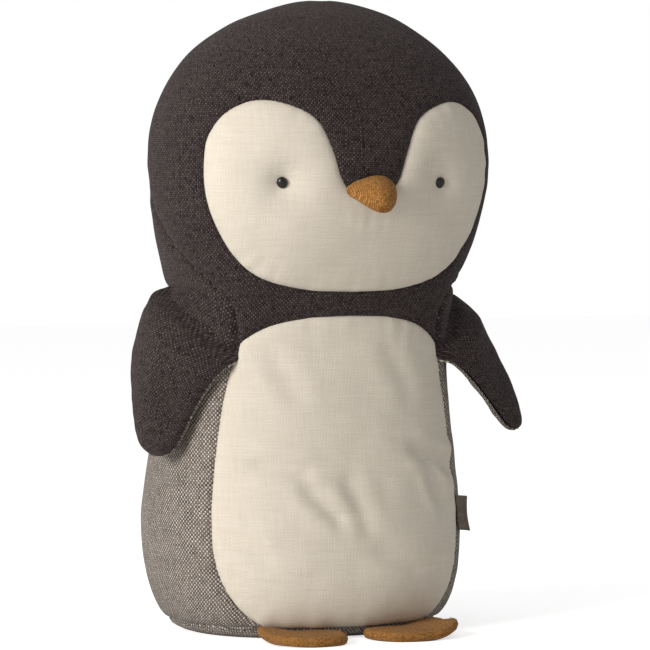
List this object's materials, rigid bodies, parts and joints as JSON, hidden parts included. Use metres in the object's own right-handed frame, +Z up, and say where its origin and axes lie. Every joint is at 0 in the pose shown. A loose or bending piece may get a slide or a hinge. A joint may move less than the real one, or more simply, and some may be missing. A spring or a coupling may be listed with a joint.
{
  "type": "plush penguin",
  "caption": "Stuffed fabric penguin toy that stands on a flat round base, with soft wings, flat feet and a small padded beak.",
  "frame": {"origin": "centre of the base panel's underside, on the surface that the toy stands on", "axes": "+Z up to the crown; the face looks along -Y; +X is the penguin's own left side"},
  "size_m": [0.1652, 0.1371, 0.25],
  "materials": {
    "charcoal_cloth": "charcoal linen, plain woven, matt",
    "cream_cloth": "cream linen, plain woven, matt",
    "grey_weave": "grey-brown linen, coarse cross-dyed weave",
    "mustard_cloth": "mustard linen, matt, slightly felted",
    "black_bead": "black, polished",
    "fibre_filling": "white polyester fibre",
    "pouch_cloth": "undyed cotton",
    "dark_thread": "dark upholstery thread",
    "label_ribbon": "taupe woven ribbon"
  },
  "bodies": {
    "torso": {"base_panel": "charcoal_cloth", "hood_front_panel": "charcoal_cloth", "head_back_panel": "charcoal_cloth", "face_panel": "cream_cloth", "belly_panel": "cream_cloth", "back_panel_right": "grey_weave", "back_panel_left": "grey_weave", "shoulder_panel_right": "charcoal_cloth", "shoulder_panel_left": "charcoal_cloth", "head_filling": "fibre_filling", "body_filling": "fibre_filling", "weight_pouch": "pouch_cloth", "eye_bead_right": "black_bead", "eye_bead_left": "black_bead", "eye_thread": "dark_thread", "beak_skin": "mustard_cloth", "beak_filling": "fibre_filling"},
    "wing_right": {"wing_outer_right": "charcoal_cloth", "wing_inner_right": "grey_weave", "wing_filling_right": "fibre_filling"},
    "wing_left": {"wing_outer_left": "charcoal_cloth", "wing_inner_left": "grey_weave", "wing_filling_left": "fibre_filling"},
    "foot_right": {"foot_top_right": "mustard_cloth", "foot_sole_right": "mustard_cloth", "foot_padding_right": "fibre_filling"},
    "foot_left": {"foot_top_left": "mustard_cloth", "foot_sole_left": "mustard_cloth", "foot_padding_left": "fibre_filling"},
    "label": {"side_label": "label_ribbon"}
  },
  "joints": [
    {"name": "right_wing_flap", "type": "hinge", "parent": "torso", "child": "wing_right", "pos_m": [-0.04891, -0.03179, 0.10974], "axis": [-0.3525, 0.7794, 0.518], "range_deg": [0, 80], "stiffness_Nm_per_rad": 0.08},
    {"name": "left_wing_flap", "type": "hinge", "parent": "torso", "child": "wing_left", "pos_m": [0.04891, -0.03179, 0.10974], "axis": [-0.3525, -0.7794, -0.518], "range_deg": [-31, 50], "stiffness_Nm_per_rad": 0.08},
    {"name": "right_foot_flap", "type": "hinge", "parent": "torso", "child": "foot_right", "pos_m": [-0.024, -0.0455, 0.0026], "axis": [0.9417, -0.3363, 0], "range_deg": [-10, 60], "stiffness_Nm_per_rad": 0.03},
    {"name": "left_foot_flap", "type": "hinge", "parent": "torso", "child": "foot_left", "pos_m": [0.024, -0.0455, 0.0026], "axis": [0.9417, 0.3363, 0], "range_deg": [-10, 60], "stiffness_Nm_per_rad": 0.03},
    {"name": "label_flap", "type": "hinge", "parent": "torso", "child": "label", "pos_m": [0.0563, -0.0292, 0.046], "axis": [0, 0, 1], "range_deg": [-45, 50], "stiffness_Nm_per_rad": 0.001}
  ]
}
